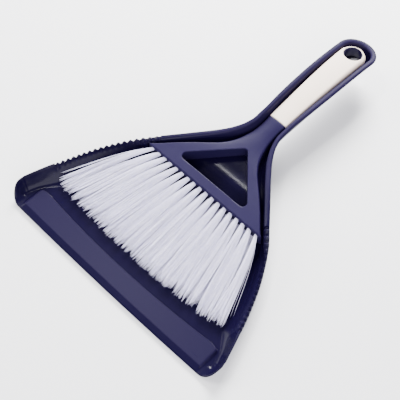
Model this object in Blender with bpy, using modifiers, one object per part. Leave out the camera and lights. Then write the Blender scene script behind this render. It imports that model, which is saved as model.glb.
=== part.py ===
"""Nested dust pan and brush set.

The pan is one thin moulding: a lip, a raised panel, a well, side walls whose rims carry
comb teeth, a channelled handle, and four low pads that it stands on.  The hand brush lies in
it: a fan-shaped head with a three-cornered window, a neck and a core in one moulding, a soft
grip moulded over the core, two staggered rows of filament tufts, and the staples that hold
the top row.

Lengths below are millimetres.  y runs from the pan's lip towards the handle and is shifted
by half the length when points are made, and z starts at the pan's underside, a pad's height
up, so the origin is the middle of the underside of the whole set's box.
"""
from bisect import bisect_right
from math import cos, hypot, pi, radians, sin

import bmesh
import bpy
from mathutils import Matrix, Vector

MM = 0.001
LENGTH = 345.6
LIP_Y = -1.6
MIDDLE_Y = LIP_Y + LENGTH / 2
GAP = 0.3

# Dust pan: outline, heights and wall
WALL = 2.0
CORNER_X, CORNER_Y, CORNER_R = 113.9, 14.0, 14.2
HANDLE_END_Y, HANDLE_END_R = 324.2, 19.8
LIP_BOW = CORNER_Y - CORNER_R - LIP_Y
PANEL_START, PANEL_END, PANEL_LIFT, PANEL_STEP = 6.5, 28.0, 2.6, 1.6
PANEL_BOW = 6.0
ROW_POINTS = 10
CORNER_TURNS = (0, 26, 44, 62, 80, 95)
HANDLE_END_STEPS = 9
SIDE_STATIONS = (18.9, 24, 29, 34, 39, 46, 54, 66, 79, 92, 105, 112, 119, 127, 135, 143, 150, 157, 164,
                 170, 176, 182, 188, 194, 200, 206, 217, 230, 245, 262, 279, 295, 306, 316)
RIM_HALF_WIDTH = [(18.9, 127.7), (50, 116.8), (85, 102.1), (119, 81.5), (136, 66.5), (154, 50.3),
                  (171, 35.0), (183, 25.4), (194, 19.4), (205, 16.8), (217, 16.8), (235, 17.9),
                  (255, 18.9), (275, 19.5), (295, 19.8), (324.2, 19.8)]
RIM_HEIGHT = [(-.2, 2.1), (5, 7.8), (10, 13.2), (16, 15.2), (25, 16.2), (50, 17.2), (85, 19.4),
              (119, 22.0), (136, 24.4), (154, 27.0), (171, 29.7), (194, 34.1), (217, 37.4),
              (235, 39.0), (255, 39.9), (275, 40.2), (300, 39.4), (323, 37.4), (333, 35.3),
              (344, 32.6)]
FLOOR_HEIGHT = [(0, 2.0), (138, 2.0), (144, 4.6), (150, 8.8), (155, 10.4), (165, 12.0), (180, 14.4),
                (200, 17.2), (217, 19.0), (240, 21.0), (275, 22.4), (310, 22.4), (344, 21.0)]

# Wall sections from the rim's outer edge inwards: (inset, share of the wall's height)
FRONT_WALL = [(0, 1), (1.6, .97), (5, .62), (8.3, .33), (11.2, .14), (14, .04), (17, 0)]
COMB_WALL = [(2.0, 1), (2.4, .80), (3.4, .66), (6.2, .46), (9.5, .25), (13, .07), (16, 0)]
HANDLE_WALL = [(0, .97), (2.4, 1), (5.0, .94), (6.2, .50), (8.2, .20), (10.6, .06), (14, 0)]
NECK_SQUEEZE = 0.14
CORNER_SQUEEZE = 0.38
COMB_FROM, COMB_TO = 48.0, 134.0
COMB_TEETH = 18
TOOTH_HEIGHT, NOTCH_REACH = 3.4, 4.0
NOTCH_SHARE = 0.48
PAN_HOLE_R = 5.5
PAD_HEIGHT, PAD_R, PAD_SIDES = 1.0, 4.0, 12
PADS = [(90, 38), (-90, 38), (38, 133), (-38, 133)]

# Brush body
HEAD_FRONT = 120.6
HEAD_HALF_WIDTH = [(120.6, 70.0), (129, 61.5), (137, 54.0), (150.5, 40.0), (158, 31.6), (166, 23.4),
                   (174.5, 17.2), (184, 13.2), (197, 10.1), (208, 9.4), (217, 9.9)]
BODY_TOP = [(120.6, 24.0), (175, 28.2), (200, 30.4), (217, 32.6), (235, 35.0), (255, 37.4), (275, 39.2),
            (295, 40.4), (308, 40.5), (320, 39.7), (332, 36.6)]
BODY_UNDER = [(120.6, 9.6), (135, 11.0), (150, 13.2), (165, 15.4), (180, 17.4), (200, 20.2), (217, 22.2),
              (240, 23.8), (275, 24.6), (310, 24.6), (332, 26.0)]
CROWN = [(120.6, .5), (160, .6), (190, .9), (217, .7), (332, .7)]
TOP_ROUND = [(120.6, 1.6), (160, 2.0), (190, 2.4), (217, 2.0), (240, 2.6), (332, 3.2)]
UNDER_ROUND = [(120.6, 1.6), (165, 2.4), (190, 5.0), (217, 7.6), (332, 9.0)]
BODY_STATIONS = (121.2, 125, 129, 134, 140, 146, 152, 158, 163, 168, 173, 178, 184, 190, 198, 207)
FRONT_BEVEL = 0.6
WINDOW = [(-44.6, 130.4, 4.2), (44.6, 130.4, 4.2), (0, 177.4, 3.4)]
WINDOW_STEPS = 4

# Grip and hanging hole
GRIP_START = 217.0
GRIP_HALF_WIDTH = [(217, 9.9), (235, 10.4), (260, 11.2), (290, 11.9), (319.7, 12.3)]
GRIP_SKIN = 2.0
GRIP_STATIONS = (226, 236, 248, 262, 276, 290, 300, 308, 314)
GRIP_END_STEPS, GRIP_END_PINCH = 6, 5.0
HOLE_Y, HOLE_R = 319.7, 9.2
LINER_WALL = 0.8
LINER_RECESS, LINER_DROP = 0.5, 1.4

# Tufts
PITCH = 7.5
TOP_TUFTS, LOW_TUFTS = 18, 17
TUFT_R, TUFT_HOLE_R = 2.15, 2.5
TUFT_SIDES = 10
HOLE_DEPTH, END_HOLE_DEPTH = 8.0, 5.0
TUFT_STEPS = (.14, .32, .55, .78, 1.0)
TUFT_SPREAD, TUFT_GAP = 9.0, 0.5
TUFT_SEAT = 1.4
ROOT_TILT = 5.0
ROOT_SPLAY, TIP_SPLAY = 33.0, 20.0
TIP_SPREAD = 1.50
TIP_Y, TIP_BACK = 37.0, 6.0
TOP_ROOT_Z, TOP_TIP_Z, TOP_TIP_HALF = 19.6, 7.9, 2.0
LOW_ROOT_Z, LOW_TIP_Z, LOW_TIP_HALF = 12.8, 4.0, 1.6
BEND = 28.0
STAPLE, STAPLE_SEAT = (3.6, 0.7, 1.4), 0.4


def smooth(table, v):
    """Read a table of (position, value) as a curve whose slopes follow its neighbours."""
    if v <= table[0][0]:
        return table[0][1]
    if v >= table[-1][0]:
        return table[-1][1]
    i = bisect_right([p for p, _ in table], v) - 1

    def secant(j):
        (p, a), (q, b) = table[j], table[j + 1]
        return (b - a) / (q - p)

    def slope(j):
        if j == 0 or j == len(table) - 1:
            return secant(min(j, len(table) - 2))
        left, right = secant(j - 1), secant(j)
        return 0.0 if left * right <= 0 else 2 * left * right / (left + right)

    (p, a), (q, b) = table[i], table[i + 1]
    w = q - p
    t = (v - p) / w
    return (a * (1 + 2 * t) * (1 - t) ** 2 + b * t * t * (3 - 2 * t)
            + w * t * (1 - t) * (slope(i) * (1 - t) - slope(i + 1) * t))


def ramp(v, low, high):
    t = min(max((v - low) / (high - low), 0.0), 1.0)
    return t * t * (3 - 2 * t)


def point(x, y, z):
    """A point in metres from millimetres measured from the lip and the pan's underside."""
    return Vector((x * MM, (y - MIDDLE_Y) * MM, (z + PAD_HEIGHT) * MM))


def new_collection(name):
    collection = bpy.data.collections.new(name)
    bpy.context.scene.collection.children.link(collection)
    return collection


def material(name, colour, roughness, metallic=0.0):
    made = bpy.data.materials.new(name)
    made.use_nodes = True
    shader = made.node_tree.nodes["Principled BSDF"]
    shader.inputs["Base Color"].default_value = (*colour, 1)
    shader.inputs["Roughness"].default_value = roughness
    shader.inputs["Metallic"].default_value = metallic
    return made


def mesh_object(name, points, faces, collection, look=None, parent=None):
    mesh = bpy.data.meshes.new(name)
    mesh.from_pydata([tuple(p) for p in points], [], faces)
    obj = bpy.data.objects.new(name, mesh)
    collection.objects.link(obj)
    if look:
        mesh.materials.append(look)
    obj.parent = parent
    return obj


def loft(rings):
    """Close a tube of equal rings with a flat face at each end."""
    count = len(rings[0])
    points = [p for ring in rings for p in ring]
    faces = []
    for i in range(len(rings) - 1):
        for j in range(count):
            k = (j + 1) % count
            a, b = i * count, (i + 1) * count
            faces.append((a + j, a + k, b + k, b + j))
    faces.append(tuple(reversed(range(count))))
    faces.append(tuple(range((len(rings) - 1) * count, len(rings) * count)))
    return points, faces


def face_outwards(obj):
    bm = bmesh.new()
    bm.from_mesh(obj.data)
    bmesh.ops.recalc_face_normals(bm, faces=bm.faces)
    bm.to_mesh(obj.data)
    bm.free()


def cut(obj, cutter, operation="DIFFERENCE"):
    boolean = obj.modifiers.new(cutter.name, "BOOLEAN")
    boolean.operation = operation
    boolean.solver = "EXACT"
    boolean.object = cutter


def hide_cutter(obj):
    obj.hide_render = True
    obj.display_type = "WIRE"


# ---------------------------------------------------------------- dust pan

def rim_stations():
    """Points along the right half of the rim: (x, y, inward x, inward y)."""
    stations = []
    for turn in CORNER_TURNS:
        angle = radians(turn - 90)
        stations.append((CORNER_X + CORNER_R * cos(angle), CORNER_Y + CORNER_R * sin(angle),
                         -cos(angle), -sin(angle)))
    for y in SIDE_STATIONS:
        slope = smooth(RIM_HALF_WIDTH, y + .5) - smooth(RIM_HALF_WIDTH, y - .5)
        size = hypot(1, slope)
        stations.append((smooth(RIM_HALF_WIDTH, y), y, -1 / size, slope / size))
    for i in range(HANDLE_END_STEPS):
        angle = radians(90 * i / HANDLE_END_STEPS)
        stations.append((HANDLE_END_R * cos(angle), HANDLE_END_Y + HANDLE_END_R * sin(angle),
                         -cos(angle), -sin(angle)))
    return stations


def wall_section(y):
    """Blend the three wall shapes along the rim.

    A tight front corner narrows them, and where the wall runs out into the lip its points
    spread evenly, so that none of its faces stands on edge.
    """
    snug = 1 - NECK_SQUEEZE * (ramp(y, 165, 200) - ramp(y, 215, 250))
    comb = ramp(y, 42, 54)
    handle = ramp(y, 106, 128)
    corner = 1 - CORNER_SQUEEZE * (1 - ramp(y, 26, 50))
    lip = 1 - ramp(y, CORNER_Y - CORNER_R, 9)
    last = len(FRONT_WALL) - 1
    section = []
    for k, ((a, f), (b, g), (c, h)) in enumerate(zip(FRONT_WALL, COMB_WALL, HANDLE_WALL)):
        inset = (a + (b - a) * comb) * (1 - handle) + c * snug * handle
        share = (f + (g - f) * comb) * (1 - handle) + h * handle
        inset += (FRONT_WALL[-1][0] * k / last - inset) * lip
        share += (1 - k / last - share) * lip
        section.append((inset * corner, share))
    return section


def panel_lift(y):
    """Height of the raised panel over the well, rising backwards and ending in a step."""
    if y <= 0 or y >= PANEL_END + PANEL_STEP:
        return 0.0
    if y > PANEL_END:
        return PANEL_LIFT * (1 - (y - PANEL_END) / PANEL_STEP)
    if y < PANEL_START:
        return 0.5 * PANEL_LIFT * y / PANEL_START
    return PANEL_LIFT * (0.5 + 0.5 * (y - PANEL_START) / (PANEL_END - PANEL_START))


def bow(y):
    """How far the middle of a row across the pan lies in front of its ends."""
    return LIP_BOW + (PANEL_BOW - LIP_BOW) * ramp(y, 4, 30) - PANEL_BOW * ramp(y, 34, 70)


def pan_surface():
    """The pan's upper surface as rows that run from the right rim to the left rim."""
    stations = rim_stations()
    steps = len(wall_section(0))
    rows = []

    def inner_row(x_end, y_end, side):
        middle = []
        for m in range(1, ROW_POINTS):
            x = x_end * (1 - 2 * m / ROW_POINTS)
            y = y_end - bow(y_end) * (1 - (x / x_end) ** 2)
            # Beside the walls the panel fades into the well's fillet.
            edge = 1 - ramp(abs(x), x_end - 4, x_end)
            middle.append(point(x, y, smooth(FLOOR_HEIGHT, y) + panel_lift(y_end) * edge))
        return side + middle + [Vector((-p.x, p.y, p.z)) for p in reversed(side)]

    first = None
    for x, y, nx, ny in stations:
        rim, section = smooth(RIM_HEIGHT, y), wall_section(y)
        x_end, y_end = x + nx * section[-1][0], y + ny * section[-1][0]
        floor = smooth(FLOOR_HEIGHT, y_end)
        side = [point(x + nx * inset, y + ny * inset, floor + (rim - floor) * share)
                for inset, share in section]
        if first is None:
            first = (x, y, section)
        rows.append(inner_row(x_end, y_end, side))
    tip_y = HANDLE_END_Y + HANDLE_END_R
    rim, section = smooth(RIM_HEIGHT, tip_y), wall_section(tip_y)
    floor = smooth(FLOOR_HEIGHT, tip_y - section[-1][0])
    tip = [point(0, tip_y - inset, floor + (rim - floor) * share) for inset, share in section]
    return rows, tip, first, steps


def pan_mesh():
    rows, tip, (x, y, section), steps = pan_surface()
    points, faces = [], []

    def add(p):
        points.append(p)
        return len(points) - 1

    grid = [[add(p) for p in row] for row in rows]
    for low, high in zip(grid, grid[1:]):
        for j in range(len(low) - 1):
            faces.append((low[j], high[j], high[j + 1], low[j + 1]))

    # The tip closes the last row around the handle's end.
    end = [add(p) for p in tip]
    last = grid[-1]
    for k in range(steps - 1):
        faces.append((last[k], end[k], end[k + 1], last[k + 1]))
        faces.append((last[-1 - k], last[-2 - k], end[k + 1], end[k]))
    middle = last[steps - 1:len(last) - steps + 1]
    for a, b in zip(middle, middle[1:]):
        faces.append((a, end[-1], b))

    # The lip strip fills the front between the two corners, one row for each section point.
    right = grid[0][:steps]
    left = list(reversed(grid[0][-steps:]))
    strip = []
    for k in range(steps - 1):
        inset = section[k][0]
        row = [right[k]]
        for m in range(1, ROW_POINTS):
            px = x * (1 - 2 * m / ROW_POINTS)
            py = y + inset - bow(y + inset) * (1 - (px / x) ** 2)
            row.append(add(point(px, py, WALL + panel_lift(y + inset))))
        strip.append(row + [left[k]])
    strip.append(grid[0][steps - 1:len(grid[0]) - steps + 1])
    for low, high in zip(strip, strip[1:]):
        for j in range(ROW_POINTS):
            faces.append((low[j], high[j], high[j + 1], low[j + 1]))
    return points, faces


def comb_cutter(collection):
    """One V-shaped groove across the standing rim between each two neighbouring teeth."""
    points, faces = [], []
    pitch = (COMB_TO - COMB_FROM) / COMB_TEETH
    for i in range(COMB_TEETH + 1):
        y = COMB_FROM + i * pitch
        x, z = smooth(RIM_HALF_WIDTH, y), smooth(RIM_HEIGHT, y)
        ahead = Vector((smooth(RIM_HALF_WIDTH, y + 1) - smooth(RIM_HALF_WIDTH, y - 1), 2)).normalized()
        inward = Vector((-ahead.y, ahead.x))
        mouth = ahead * NOTCH_SHARE * pitch / ahead.y
        corners = ((Vector((0, 0)), z - TOOTH_HEIGHT), (mouth, z + .5), (-mouth, z + .5))
        for mirror in (1, -1):
            base = len(points)
            for reach in (-1, NOTCH_REACH):
                here = Vector((x, y)) + inward * reach
                points.extend(point((here + c).x * mirror, (here + c).y, height) for c, height in corners)
            faces.append((base, base + 1, base + 2))
            faces.append((base + 5, base + 4, base + 3))
            for j in range(3):
                k = (j + 1) % 3
                faces.append((base + j, base + 3 + j, base + 3 + k, base + k))
    cutter = mesh_object("comb_notches", points, faces, collection)
    face_outwards(cutter)
    hide_cutter(cutter)
    return cutter


def round_cutter(name, radius, x, y, low, high, collection, segments=32):
    bm = bmesh.new()
    bmesh.ops.create_cone(bm, cap_ends=True, segments=segments, radius1=radius * MM, radius2=radius * MM,
                          depth=(high - low) * MM)
    mesh = bpy.data.meshes.new(name)
    bm.to_mesh(mesh)
    bm.free()
    obj = bpy.data.objects.new(name, mesh)
    obj.location = point(x, y, (low + high) / 2)
    collection.objects.link(obj)
    hide_cutter(obj)
    return obj


def standing_pads(collection):
    """Four short discs that start inside the pan's floor and end on what the pan stands on."""
    points, faces = [], []
    for x, y in PADS:
        rings = []
        for z in (-PAD_HEIGHT, WALL / 2):
            turns = [2 * pi * k / PAD_SIDES for k in range(PAD_SIDES)]
            rings.append([point(x + PAD_R * cos(t), y + PAD_R * sin(t), z) for t in turns])
        base = len(points)
        more, sides = loft(rings)
        points += more
        faces += [tuple(base + v for v in face) for face in sides]
    pads = mesh_object("standing_pads", points, faces, collection)
    face_outwards(pads)
    hide_cutter(pads)
    return pads


def make_pan(parts, cutters, look, parent):
    points, faces = pan_mesh()
    pan = mesh_object("dustpan", points, faces, parts, look, parent)
    face_outwards(pan)
    if pan.data.polygons[0].normal.z < 0:
        pan.data.flip_normals()
    shell = pan.modifiers.new("Wall", "SOLIDIFY")
    shell.thickness = WALL * MM
    shell.offset = -1
    shell.use_even_offset = True
    cut(pan, comb_cutter(cutters))
    cut(pan, standing_pads(cutters), "UNION")
    cut(pan, round_cutter("pan_hole", PAN_HOLE_R, 0, HOLE_Y, 10, 30, cutters))
    return pan


# ---------------------------------------------------------------- brush

def body_ring(y, half_width, top, under, crown, top_round, under_round):
    """A rounded section across the brush, listed once around."""
    height = top - crown - under
    top_round = min(top_round, half_width * .9, height * .45)
    under_round = min(under_round, half_width * .9, height - top_round - .4)
    arc = [(1 - sin(radians(a)), 1 - cos(radians(a))) for a in (0, 30, 60, 90)]
    half = [(0, top), (.5 * (half_width - top_round), top - .25 * crown)]
    half += [(half_width - top_round * s, top - crown - top_round * c) for s, c in arc]
    half += [(half_width - under_round * s, under + under_round * c) for s, c in reversed(arc)]
    half += [(.5 * (half_width - under_round), under), (0, under)]
    ring = half + [(-x, z) for x, z in reversed(half[1:-1])]
    return [point(x, y, z) for x, z in ring]


def body_at(y, half_width, shrink=0.0):
    return body_ring(y, half_width - shrink, smooth(BODY_TOP, y) - shrink, smooth(BODY_UNDER, y) + shrink,
                     smooth(CROWN, y), max(smooth(TOP_ROUND, y) - shrink, .5),
                     max(smooth(UNDER_ROUND, y) - shrink, .5))


def handle_rings(start, shrink):
    """Rings of the handle from start to its round end, made smaller all round by shrink."""
    rings = []
    for y in (start, *GRIP_STATIONS, HOLE_Y):
        rings.append(body_at(y, smooth(GRIP_HALF_WIDTH, y), shrink))
    end_r = GRIP_HALF_WIDTH[-1][1] - shrink
    for i in range(1, GRIP_END_STEPS + 1):
        angle = radians(90 * i / (GRIP_END_STEPS + .5))
        y = HOLE_Y + end_r * sin(angle)
        half_width = end_r * cos(angle)
        # The end also closes in height, like the end of a bar of soap.
        pinch = GRIP_END_PINCH * (1 - cos(angle)) ** 1.5
        rings.append(body_ring(y, half_width, smooth(BODY_TOP, y) - shrink - pinch * .6,
                               smooth(BODY_UNDER, y) + shrink + pinch * .4, smooth(CROWN, y) * cos(angle),
                               5.0 - shrink, 5.0 - shrink))
    return rings


def window_cutter(collection):
    """A three-cornered prism with rounded corners."""
    outline = []
    for i, (x, y, radius) in enumerate(WINDOW):
        here = Vector((x, y))
        back = (Vector(WINDOW[i - 1][:2]) - here).normalized()
        ahead = (Vector(WINDOW[(i + 1) % 3][:2]) - here).normalized()
        half = back.angle(ahead) / 2
        centre = here + (back + ahead).normalized() * radius / sin(half)
        start = (here + back * radius / (sin(half) / cos(half))) - centre
        turn = pi - 2 * half
        for k in range(WINDOW_STEPS + 1):
            outline.append(centre + Matrix.Rotation(turn * k / WINDOW_STEPS, 2) @ start)
    count = len(outline)
    points = [point(p.x, p.y, z) for z in (0, 50) for p in outline]
    faces = [tuple(range(count)), tuple(reversed(range(count, 2 * count)))]
    faces += [(j, count + j, count + (j + 1) % count, (j + 1) % count) for j in range(count)]
    cutter = mesh_object("window", points, faces, collection)
    face_outwards(cutter)
    hide_cutter(cutter)
    return cutter


def tuft_path(x, root_z, tip_z, t):
    """A point along a tuft whose root is at x: it fans out, then straightens and droops."""
    side = x / (PITCH * (TOP_TUFTS - 1) / 2)
    root = Vector((x, HEAD_FRONT, root_z))
    tip = Vector((x * TIP_SPREAD, TIP_Y + TIP_BACK * side * side, tip_z))
    out, tilt = radians(ROOT_SPLAY * side), radians(ROOT_TILT)
    leave = Vector((sin(out) * cos(tilt), -cos(out) * cos(tilt), -sin(tilt)))
    arrive = Vector((sin(radians(TIP_SPLAY * side)), -cos(radians(TIP_SPLAY * side)), -.10))
    a, b = root + leave * BEND, tip - arrive * BEND
    s = 1 - t
    return s * s * s * root + 3 * s * s * t * a + 3 * s * t * t * b + t * t * t * tip, leave


def hole_depth(x):
    return END_HOLE_DEPTH if abs(x) > PITCH * (TOP_TUFTS - 2) / 2 else HOLE_DEPTH


def ring_about(centre, along, half_width, half_height):
    """A ring of TUFT_SIDES points across the direction along."""
    across = along.cross(Vector((0, 0, 1))).normalized()
    up = across.cross(along).normalized()
    ring = []
    for k in range(TUFT_SIDES):
        angle = 2 * pi * k / TUFT_SIDES
        p = centre + across * half_width * cos(angle) + up * half_height * sin(angle)
        ring.append(point(*p))
    return ring


def tuft_rings(x, root_z, tip_z, tip_half):
    root, leave = tuft_path(x, root_z, tip_z, 0)
    rings = [ring_about(root - leave * (hole_depth(x) - TUFT_SEAT), leave, TUFT_R, TUFT_R),
             ring_about(root + leave * .6, leave, TUFT_R, TUFT_R)]
    for t in TUFT_STEPS:
        here, _ = tuft_path(x, root_z, tip_z, t)
        near, _ = tuft_path(x, root_z, tip_z, t - .02)
        along = (here - near).normalized()
        beside, _ = tuft_path(x + PITCH * (1 if x < 0 else -1), root_z, tip_z, t)
        spacing = abs((beside - here).dot(along.cross(Vector((0, 0, 1))).normalized()))
        rings.append(ring_about(here, along, min((spacing - TUFT_GAP) / 2, TUFT_R + TUFT_SPREAD * t),
                                TUFT_R + (tip_half - TUFT_R) * t))
    return rings


def hole_rings(x, root_z, tip_z):
    root, leave = tuft_path(x, root_z, tip_z, 0)
    return [ring_about(root - leave * hole_depth(x), leave, TUFT_HOLE_R, TUFT_HOLE_R),
            ring_about(root + leave * 4, leave, TUFT_HOLE_R, TUFT_HOLE_R)]


def tuft_rows():
    """Every tuft: (name number, x of its root, row)."""
    top = [((i - (TOP_TUFTS - 1) / 2) * PITCH, "top", i + 1) for i in range(TOP_TUFTS)]
    low = [((i - (LOW_TUFTS - 1) / 2) * PITCH, "low", i + 1) for i in range(LOW_TUFTS)]
    return top + low


ROW_SIZES = {"top": (TOP_ROOT_Z, TOP_TIP_Z, TOP_TIP_HALF), "low": (LOW_ROOT_Z, LOW_TIP_Z, LOW_TIP_HALF)}


def tuft_hole_cutter(collection):
    points, faces = [], []
    for x, row, _ in tuft_rows():
        root_z, tip_z, _ = ROW_SIZES[row]
        base = len(points)
        more, sides = loft(hole_rings(x, root_z, tip_z))
        points += more
        faces += [tuple(base + v for v in face) for face in sides]
    cutter = mesh_object("tuft_holes", points, faces, collection)
    face_outwards(cutter)
    hide_cutter(cutter)
    return cutter


def make_brush_body(parts, cutters, look, parent):
    rings = [body_at(HEAD_FRONT, smooth(HEAD_HALF_WIDTH, HEAD_FRONT) - .8, FRONT_BEVEL)]
    for y in (*BODY_STATIONS, GRIP_START - GAP):
        rings.append(body_at(y, smooth(HEAD_HALF_WIDTH, y)))
    core = handle_rings(GRIP_START - GAP, GRIP_SKIN + GAP)
    points, faces = loft(rings + core)
    body = mesh_object("brush_body", points, faces, parts, look, parent)
    face_outwards(body)
    cut(body, window_cutter(cutters))
    cut(body, tuft_hole_cutter(cutters))
    top, under = smooth(BODY_TOP, HOLE_Y), smooth(BODY_UNDER, HOLE_Y)
    liner_r = HOLE_R - GAP
    liner = round_cutter("hole_liner", liner_r, 0, HOLE_Y, under + LINER_RECESS,
                         top - LINER_RECESS - LINER_DROP, cutters)
    cut(body, liner, "UNION")
    cut(body, round_cutter("hanging_hole", liner_r - LINER_WALL, 0, HOLE_Y, 10, 50, cutters))
    return body


def make_grip(parts, cutters, look, parent):
    points, faces = loft(handle_rings(GRIP_START, 0.0))
    grip = mesh_object("grip", points, faces, parts, look, parent)
    face_outwards(grip)
    points, faces = loft(handle_rings(GRIP_START - 2, GRIP_SKIN))
    cavity = mesh_object("core_cavity", points, faces, cutters)
    face_outwards(cavity)
    hide_cutter(cavity)
    cut(grip, cavity)
    cut(grip, round_cutter("grip_hole", HOLE_R, 0, HOLE_Y, 10, 50, cutters))
    return grip


def make_tufts(parts, look, parent):
    for x, row, number in tuft_rows():
        points, faces = loft(tuft_rings(x, *ROW_SIZES[row]))
        tuft = mesh_object(f"tuft_{row}_{number:02d}", points, faces, parts, look, parent)
        face_outwards(tuft)


def make_staples(parts, look, parent):
    """A flat wire staple across the bottom of each hole of the top row."""
    for x, row, number in tuft_rows():
        if row != "top":
            continue
        root_z, tip_z, _ = ROW_SIZES[row]
        root, leave = tuft_path(x, root_z, tip_z, 0)
        bm = bmesh.new()
        bmesh.ops.create_cube(bm, size=MM)
        bmesh.ops.scale(bm, vec=Vector(STAPLE), verts=bm.verts)
        mesh = bpy.data.meshes.new("staple")
        bm.to_mesh(mesh)
        bm.free()
        staple = bpy.data.objects.new(f"staple_{number:02d}", mesh)
        mesh.materials.append(look)
        staple.location = point(*(root - leave * (hole_depth(x) - STAPLE_SEAT - STAPLE[1] / 2)))
        staple.rotation_mode = "QUATERNION"
        staple.rotation_quaternion = leave.to_track_quat("Y", "Z")
        parts.objects.link(staple)
        staple.parent = parent


def shade(collection):
    for obj in collection.objects:
        if obj.type == "MESH":
            obj.data.shade_smooth()
            obj.data.set_sharp_from_angle(angle=radians(35))


def main():
    for obj in list(bpy.data.objects):
        bpy.data.objects.remove(obj, do_unlink=True)
    parts = new_collection("dust_pan_and_brush_set")
    cutters = new_collection("cutters")
    pan_plastic = material("pan_plastic", (.030, .027, .090), .28)
    brush_plastic = material("brush_plastic", (.055, .050, .150), .42)
    soft_grip = material("soft_grip", (.86, .79, .76), .55)
    nylon = material("nylon", (.82, .81, .88), .45)
    steel = material("steel", (.60, .60, .62), .35, 1.0)

    pan_frame = bpy.data.objects.new("pan_frame", None)
    parts.objects.link(pan_frame)
    # The brush lifts straight up out of the pan, along this empty's Z.
    brush_lift = bpy.data.objects.new("brush_lift", None)
    brush_lift.parent = pan_frame
    parts.objects.link(brush_lift)

    make_pan(parts, cutters, pan_plastic, pan_frame)
    make_brush_body(parts, cutters, brush_plastic, brush_lift)
    make_grip(parts, cutters, soft_grip, brush_lift)
    make_tufts(parts, nylon, brush_lift)
    make_staples(parts, steel, brush_lift)
    shade(parts)


main()
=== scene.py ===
"""Looks of the nested dust pan and brush set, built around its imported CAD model.

The pan, the brush's moulding, its soft grip and each filament tuft are rebuilt finely over
the CAD nodes they replace; the staples stay as they are and get a better material.

Lengths are millimetres until points are made.  y runs from the pan's lip towards the handle
and z starts at the pan's underside, as in the CAD source.
"""

from math import cos, pi, radians, sin

import bpy
import numpy as np
from mathutils import Matrix, Vector
from mathutils.kdtree import KDTree


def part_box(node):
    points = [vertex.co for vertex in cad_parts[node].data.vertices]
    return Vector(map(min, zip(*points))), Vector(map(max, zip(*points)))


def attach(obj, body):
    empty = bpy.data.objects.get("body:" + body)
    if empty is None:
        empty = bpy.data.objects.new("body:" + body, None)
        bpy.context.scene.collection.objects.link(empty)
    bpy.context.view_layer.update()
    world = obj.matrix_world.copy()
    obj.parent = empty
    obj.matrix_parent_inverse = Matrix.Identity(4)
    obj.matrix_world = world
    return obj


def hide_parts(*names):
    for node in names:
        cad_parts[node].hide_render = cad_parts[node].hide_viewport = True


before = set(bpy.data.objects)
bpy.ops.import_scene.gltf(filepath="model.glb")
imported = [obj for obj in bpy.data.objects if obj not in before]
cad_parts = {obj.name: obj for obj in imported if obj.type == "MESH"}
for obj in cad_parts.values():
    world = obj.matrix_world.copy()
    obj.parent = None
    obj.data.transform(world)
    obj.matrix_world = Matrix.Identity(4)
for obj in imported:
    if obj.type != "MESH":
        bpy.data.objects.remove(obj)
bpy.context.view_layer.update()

MM = 0.001
LIP_Y = -1.6
PAD_HEIGHT = 1.0
MIDDLE_Y = LIP_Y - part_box("dustpan")[0].y / MM
GAP = 0.3

# Dust pan: outline, heights and wall
WALL = 2.0
RIM_DEPTH = [(-.2, 2.0), (44, 2.0), (54, 6.0), (112, 6.0), (134, 2.0), (200, 2.8), (344, 2.8)]
RIM_ROUND = 2.8
# How far the rim's top band takes the satin look along y. Its paler colour is painted sheen, and the
# shares above 1 on the handle's rim paint a stronger sheen there.
RIM_SATIN_AND_SHEEN = [(20, 0), (45, .25), (130, .3), (190, 2), (344, 2)]
RIM_BAND, RIM_BAND_EASE = 5.0, .8
RIM_DEPTH_FADE = (2, 6)
CORNER_X, CORNER_Y, CORNER_R = 113.9, 14.0, 14.2
CORNER_TURN = 19
HANDLE_END_Y, HANDLE_END_R = 324.2, 19.8
LIP_BOW = CORNER_Y - CORNER_R - LIP_Y
PANEL_START, PANEL_END, PANEL_LIFT, PANEL_STEP = 6.5, 28.0, 2.6, 0.6
PANEL_BOW = 6.0
PANEL_MARGIN, PANEL_CORNER, PANEL_END_EASE = 3.0, 3.0, 3.2
# Where along y the panel's satin look fades in; its paler colour is partly painted sheen.
FINISH_AND_SHEEN_FROM, FINISH_AND_SHEEN_FULL = PANEL_START - 1.5, PANEL_START + .5
RIM_HALF_WIDTH = [(18.9, 127.7), (50, 116.8), (85, 102.1), (119, 81.5), (136, 66.5), (154, 50.3),
                  (171, 35.0), (183, 25.4), (194, 19.4), (205, 16.8), (217, 16.8), (235, 17.9),
                  (255, 18.9), (275, 19.5), (295, 19.8), (324.2, 19.8)]
RIM_HEIGHT = [(-.2, 2.1), (5, 7.8), (10, 13.2), (16, 15.2), (25, 16.2), (50, 17.2), (85, 19.4),
              (119, 22.0), (136, 24.4), (154, 27.0), (171, 29.7), (194, 34.1), (217, 37.4),
              (235, 39.0), (255, 39.9), (275, 40.2), (300, 39.4), (323, 37.4), (333, 35.3),
              (344, 32.6)]
FLOOR_HEIGHT = [(0, 2.0), (138, 2.0), (144, 4.6), (150, 8.8), (155, 10.4), (165, 12.0), (180, 14.4),
                (200, 17.2), (217, 19.0), (240, 21.0), (275, 22.4), (310, 22.4), (344, 21.0)]

# Wall sections from the rim's outer edge inwards: (inset, share of the wall's height)
FRONT_WALL = [(0, 1), (1.6, .97), (5, .62), (8.3, .33), (11.2, .14), (14, .04), (17, 0)]
COMB_WALL = [(0, 1), (1.8, 1), (2.4, .80), (3.4, .66), (6.2, .46), (10.5, .20), (16, 0)]
HANDLE_WALL = [(0, .97), (2.4, 1), (5.0, .94), (6.2, .50), (8.2, .20), (10.6, .06), (14, 0)]
NECK_SQUEEZE = 0.14
CORNER_SQUEEZE = 0.38

# Stretches of y over which one shape turns into the next
TO_COMB, TO_HANDLE = (42, 54), (106, 128)
TO_NECK, FROM_NECK = (165, 200), (215, 250)
FROM_CORNER = (26, 50)
TO_PANEL_BOW, FROM_PANEL_BOW = (4, 30), (34, 70)

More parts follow.
